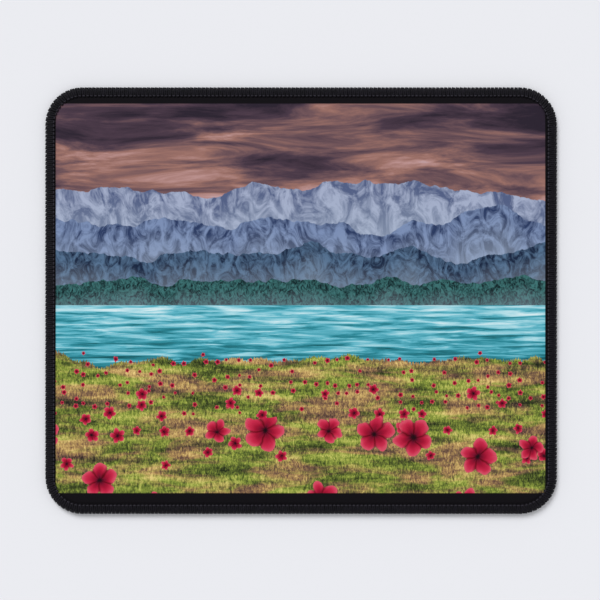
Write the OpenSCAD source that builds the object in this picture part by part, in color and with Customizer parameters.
// Cloth-topped mouse pad with an overlocked edge.
// A printed knit face is laminated to a foam rubber base by a glue film, and a three-thread
// overlock seam binds the edge. Origin: centre of the underside, +X along the width, +Z up.

/* [Pad] */
// Width of the pad over the stitching
pad_w = 235; // [180:1:320]
// Depth of the pad over the stitching
pad_d = 196; // [150:1:280]
// Radius of the corners over the stitching
corner_r = 17; // [13:0.5:30]

/* [Layers] */
// Thickness of the printed cloth
cloth_t = 0.4; // [0.3:0.05:0.6]
// Thickness of the glue film between cloth and rubber
film_t = 0.1; // [0.06:0.02:0.2]
// Thickness of the rubber base inside the seam
base_t = 3; // [2.6:0.1:5]

/* [Grip] */
// Distance from one grip groove to the next
groove_pitch = 4; // [3:0.5:8]
// Width of a grip groove
groove_w = 1.2; // [0.6:0.1:2]
// Depth of a grip groove
groove_depth = 0.3; // [0.1:0.05:0.6]
// Plain rubber left between the seam and the grooves
grip_margin = 6; // [5:0.5:20]

/* [Seam] */
// Length of one overlock stitch along the needle line
stitch_pitch = 1.8; // [1.7:0.05:2.4]
// Distance from the pad's outline to the needle line
bite = 4.1; // [3.6:0.1:5.5]
// How far the seam pulls the mousing face down
squeeze = 0.45; // [0.2:0.05:0.8]
// How far the loops reach inwards past the needle line
loop_tail = 0.55; // [0.4:0.05:0.9]
// Length over which the squeezed edge rises to full thickness
ramp = 1.2; // [0.8:0.1:2.5]

/* [Thread] */
// Diameter of the two soft looper threads
looper_d = 0.7; // [0.5:0.05:0.75]
// Diameter of the needle thread
needle_d = 0.3; // [0.2:0.02:0.32]
// How deep the two strands of one loop press into each other
strand_press = 0.06; // [0.03:0.01:0.15]
// Length of the little needle-thread loop that hooks under the lower looper
hook_len = 1.2; // [1:0.05:1.5]
// Clearance round a thread in its hole and at the end of a loop
thread_gap = 0.02; // [0.01:0.01:0.05]
// Height of the lowest thread above the table
foot_gap = 0.05; // [0.02:0.01:0.1]

/* [Hidden] */
$fn = 48;

looper_r = looper_d / 2;
needle_r = needle_d / 2;
strand_x = (looper_d - strand_press) / 2;

// Each surface of the sandwich is [height inside the seam, height under the stitches].
seam_top = base_t + film_t + cloth_t - squeeze;
seam_bottom = looper_d + needle_d + foot_gap;
face = [base_t + film_t + cloth_t, seam_top];
cloth_back = [base_t + film_t, seam_top - cloth_t];
base_top = [base_t, seam_top - cloth_t - film_t];
underside = [0, seam_bottom];

// The squeezed edge has two slanting faces that fall 4 for every 3 outwards, a 3-4-5
// triangle, and a thread folds over its corner in a plane that rises 2 for every 1.
slant_sin = 0.8;
slant_tan = 4 / 3;
fold_tan = 0.5;

// The corner of the edge sits so that the outermost thread just reaches the outline.
mid_z = (seam_top + seam_bottom) / 2;
half_core = (seam_top - seam_bottom) / 2;
nose_corner = bite - looper_r / slant_sin - (half_core + looper_r) / slant_tan
    - looper_r * fold_tan;
nose_tip = nose_corner + half_core / slant_tan;
ramp_foot = -(loop_tail + thread_gap);
ramp_head = ramp_foot - ramp;

// The seam is four straight runs and four corners, each with whole stitches.
needle_path_r = corner_r - bite;
corner_stitches = round(needle_path_r * PI / 2 / stitch_pitch);
corner_step = 90 / corner_stitches;
corner_pitch = 2 * needle_path_r * tan(corner_step / 2);

function run_length(side) = (side % 2 ? pad_d : pad_w) - 2 * corner_r;
function run_stitches(side) = round(run_length(side) / stitch_pitch);
function run_pitch(side) = run_length(side) / run_stitches(side);

needle_run_z = seam_top + looper_d + needle_r;
needle_hook_z = foot_gap + needle_r;

// How far the cutting shapes reach past what they cut
slack = 2;

// Puts its children on one straight run: the needle line is Y = 0 and +Y is outwards.
module on_run(side, x = 0) {
    rotate(90 * side)
        translate([x, (side % 2 ? pad_w : pad_d) / 2 - bite, 0])
            children();
}

// Puts its children at the centre of one corner, which spans 0 to 90 degrees.
module at_corner(corner) {
    rotate(90 * corner)
        translate([run_length(corner) / 2, run_length(corner + 1) / 2, 0])
            children();
}

// Puts its children on the needle line of a corner, some stitches round it, +Y outwards.
module on_corner(corner, stitches) {
    at_corner(corner)
        rotate(-stitches * corner_step)
            translate([0, needle_path_r, 0])
                children();
}

// Sweeps a section (X outwards from the needle line, Y up) once round the pad.
module round_the_edge() {
    for (side = [0:3])
        on_run(side)
            rotate([90, 0, 90])
                linear_extrude(run_length(side), center = true)
                    children();
    for (corner = [0:3])
        at_corner(corner)
            rotate_extrude(angle = 90)
                translate([needle_path_r, 0])
                    children();
}

// Plan of the pad where the squeezed edge has risen to full thickness.
module plateau_plan() {
    radius = needle_path_r + ramp_head;
    square([run_length(0) + 2 * radius, run_length(1)], center = true);
    square([run_length(0), run_length(1) + 2 * radius], center = true);
    for (corner = [0:3])
        at_corner(corner)
            circle(radius);
}

// Outline of the squeezed edge, which trims every layer's outer end.
module nose_section() {
    reach = face[0] + slack;
    lean = reach / slant_tan;
    polygon([
        [ramp_head - slack, mid_z + reach],
        [nose_tip - lean, mid_z + reach],
        [nose_tip, mid_z],
        [nose_tip - lean, mid_z - reach],
        [ramp_head - slack, mid_z - reach]
    ]);
}

// One sheet of the sandwich between two surfaces, as it runs under the stitches.
module layer_section(upper, lower) {
    end = nose_tip + slack;
    intersection() {
        polygon([
            [ramp_head, upper[0]], [ramp_foot, upper[1]], [end, upper[1]],
            [end, lower[1]], [ramp_foot, lower[1]], [ramp_head, lower[0]]
        ]);
        nose_section();
    }
}

module layer(upper, lower) {
    translate([0, 0, lower[0]])
        linear_extrude(upper[0] - lower[0])
            plateau_plan();
    round_the_edge() layer_section(upper, lower);
}

module needle_holes() {
    depth = face[0];
    for (side = [0:3], i = [0:run_stitches(side)])
        on_run(side, (i - run_stitches(side) / 2) * run_pitch(side))
            cylinder(h = depth, r = needle_r + thread_gap);
    for (corner = [0:3], i = [1:corner_stitches - 1])
        on_corner(corner, i)
            cylinder(h = depth, r = needle_r + thread_gap);
}

module grip_grooves() {
    inset = bite - ramp_head + grip_margin;
    field_w = pad_w - 2 * inset;
    field_d = pad_d - 2 * inset;
    // an even count leaves a plain land through the middle of the pad
    count = 2 * floor(field_d / groove_pitch / 2);
    for (i = [0:count - 1])
        translate([0, (i + 0.5 - count / 2) * groove_pitch, 0])
            cube([field_w, groove_w, 2 * groove_depth], center = true);
}

// The two strands of a loop side by side, pressed flat where they lie on the line Y = 0.
module loop_section() {
    for (side = [-1, 1])
        translate([side * strand_x, looper_r])
            circle(looper_r);
    translate([-strand_x, 0])
        square([2 * strand_x, looper_r]);
}

// A row of looper-thread loops. Each lies over the needle line, folds over the edge's
// corner and ends at mid height, where it meets the other looper thread.
module loops(count, pitch) {
    width = (count + 1) * pitch;
    spare = half_core + looper_d + slack;
    fold_rise = spare / fold_tan;

    // strands along Y from the corner of the edge inwards, cut to the plane of the fold
    module flat_strands(length) {
        difference() {
            translate([0, spare, 0])
                rotate([90, 0, 0])
                    linear_extrude(spare + length)
                        for (i = [0:count - 1])
                            translate([(i + 0.5 - count / 2) * pitch, 0])
                                loop_section();
            rotate([90, 0, 90])
                linear_extrude(width, center = true)
                    polygon([[-spare, -fold_rise], [spare, fold_rise], [2 * spare, -fold_rise]]);
        }
    }

    translate([0, nose_corner, seam_top]) {
        flat_strands(nose_corner + loop_tail);
        // the other side of the fold is its mirror image, cut level at mid height
        difference() {
            mirror([0, 1, -fold_tan])
                flat_strands(2 * half_core + looper_d);
            translate([0, 0, -half_core - spare])
                cube([width, 4 * spare, 2 * spare], center = true);
        }
    }
}

module looper_thread() {
    for (side = [0:3])
        on_run(side)
            loops(run_stitches(side), run_pitch(side));
    for (corner = [0:3], i = [0:corner_stitches - 1])
        on_corner(corner, i + 0.5)
            loops(1, stitch_pitch);
}

// Needle thread along a straight line of holes: one run on top, and through each hole a
// leg that ends in a small loop hooked under the lower looper's strands.
module needle_stitches(holes, pitch, top_run) {
    translate([-top_run / 2, 0, needle_run_z])
        rotate([0, 90, 0])
            cylinder(h = top_run, r = needle_r);
    for (i = [0:holes - 1])
        translate([(i - (holes - 1) / 2) * pitch, 0, needle_hook_z])
            cylinder(h = needle_run_z - needle_hook_z, r = needle_r);
    for (i = [0:holes - 1])
        translate([(i - (holes - 1) / 2) * pitch - hook_len / 2, 0, needle_hook_z])
            rotate([0, 90, 0])
                cylinder(h = hook_len, r = needle_r);
}

module rubber_base() {
    color("#2b2b2d")
        difference() {
            layer(base_top, underside);
            needle_holes();
            grip_grooves();
        }
}

module glue_film() {
    color("#d8d2bd")
        difference() {
            layer(cloth_back, base_top);
            needle_holes();
        }
}

module printed_cloth() {
    color("#7f8f86")
        difference() {
            layer(face, cloth_back);
            needle_holes();
        }
}

module upper_looper_thread() {
    color("#1b1a20")
        looper_thread();
}

module lower_looper_thread() {
    color("#141318")
        translate([0, 0, 2 * mid_z])
            mirror([0, 0, 1])
                looper_thread();
}

module needle_thread() {
    // the run turns a little at every hole of a corner, and its pieces just clear there
    bend_gap = needle_d * tan(corner_step / 2) + thread_gap;
    color("#2a282f") {
        for (side = [0:3])
            on_run(side)
                needle_stitches(run_stitches(side) + 1, run_pitch(side),
                    run_length(side) + corner_pitch - bend_gap);
        for (corner = [0:3], i = [1:corner_stitches - 1])
            on_corner(corner, i)
                needle_stitches(1, stitch_pitch, corner_pitch - bend_gap);
    }
}

rubber_base();
glue_film();
printed_cloth();
needle_thread();
upper_looper_thread();
lower_looper_thread();
